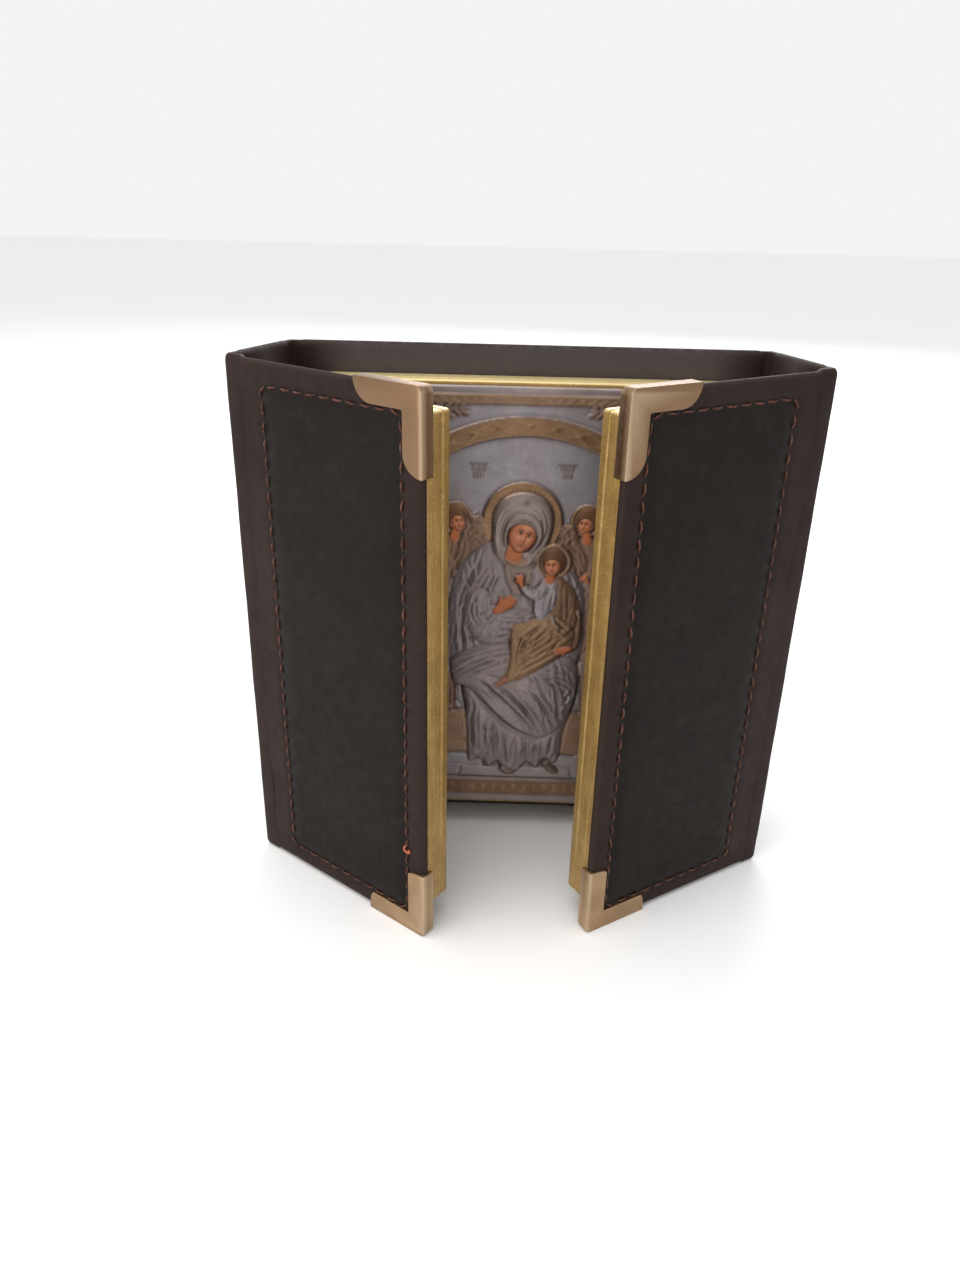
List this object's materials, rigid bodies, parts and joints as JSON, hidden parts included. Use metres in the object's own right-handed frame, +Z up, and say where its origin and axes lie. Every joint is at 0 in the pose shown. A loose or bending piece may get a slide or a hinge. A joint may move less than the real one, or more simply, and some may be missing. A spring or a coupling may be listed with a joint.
{
  "type": "folding triptych icon",
  "caption": "Pocket triptych: embossed silvered icons on gilt-edged blocks in a hinged, stitched leather case with brass corners, standing with its wings part open.",
  "frame": {"origin": "underside of the back board, at the middle of its width and thickness, on the plane it stands on", "axes": "+Z up, +Y out of the back of the case, +X to the right of a viewer who looks at the icons"},
  "size_m": [0.1219, 0.0544, 0.12],
  "materials": {
    "leather": "satin, worn at edges",
    "thread": "matt waxed thread",
    "brass": "brushed, lightly tarnished",
    "gilt": "gold paint on wood",
    "silver": "embossed thin sheet, silvered, with gilded and painted areas"
  },
  "bodies": {
    "back": {"back_cover": "leather", "back_stitching": "thread", "centre_block": "gilt", "centre_icon": "silver", "left_back_crease": "leather", "right_back_crease": "leather"},
    "left_spine": {"left_spine_cover": "leather", "left_wing_crease": "leather"},
    "left_wing": {"left_wing_cover": "leather", "left_stitching": "thread", "left_block": "gilt", "left_icon": "silver", "left_top_corner": "brass", "left_bottom_corner": "brass"},
    "right_spine": {"right_spine_cover": "leather", "right_wing_crease": "leather"},
    "right_wing": {"right_wing_cover": "leather", "right_stitching": "thread", "right_block": "gilt", "right_icon": "silver", "right_top_corner": "brass", "right_bottom_corner": "brass"}
  },
  "joints": [
    {"name": "left_spine_fold", "type": "hinge", "parent": "back", "child": "left_spine", "pos_m": [-0.0526, 0, 0], "axis": [0, 0, 1], "range_deg": [-68.5, 21.5]},
    {"name": "left_wing_fold", "type": "hinge", "parent": "left_spine", "child": "left_wing", "pos_m": [-0.06059, -0.02028, 0], "axis": [0, 0, 1], "range_deg": [-74.5, 15.5]},
    {"name": "right_spine_fold", "type": "hinge", "parent": "back", "child": "right_spine", "pos_m": [0.0526, 0, 0], "axis": [0, 0, -1], "range_deg": [-72, 18]},
    {"name": "right_wing_fold", "type": "hinge", "parent": "right_spine", "child": "right_wing", "pos_m": [0.05934, -0.02073, 0], "axis": [0, 0, -1], "range_deg": [-75.5, 14.5]}
  ]
}
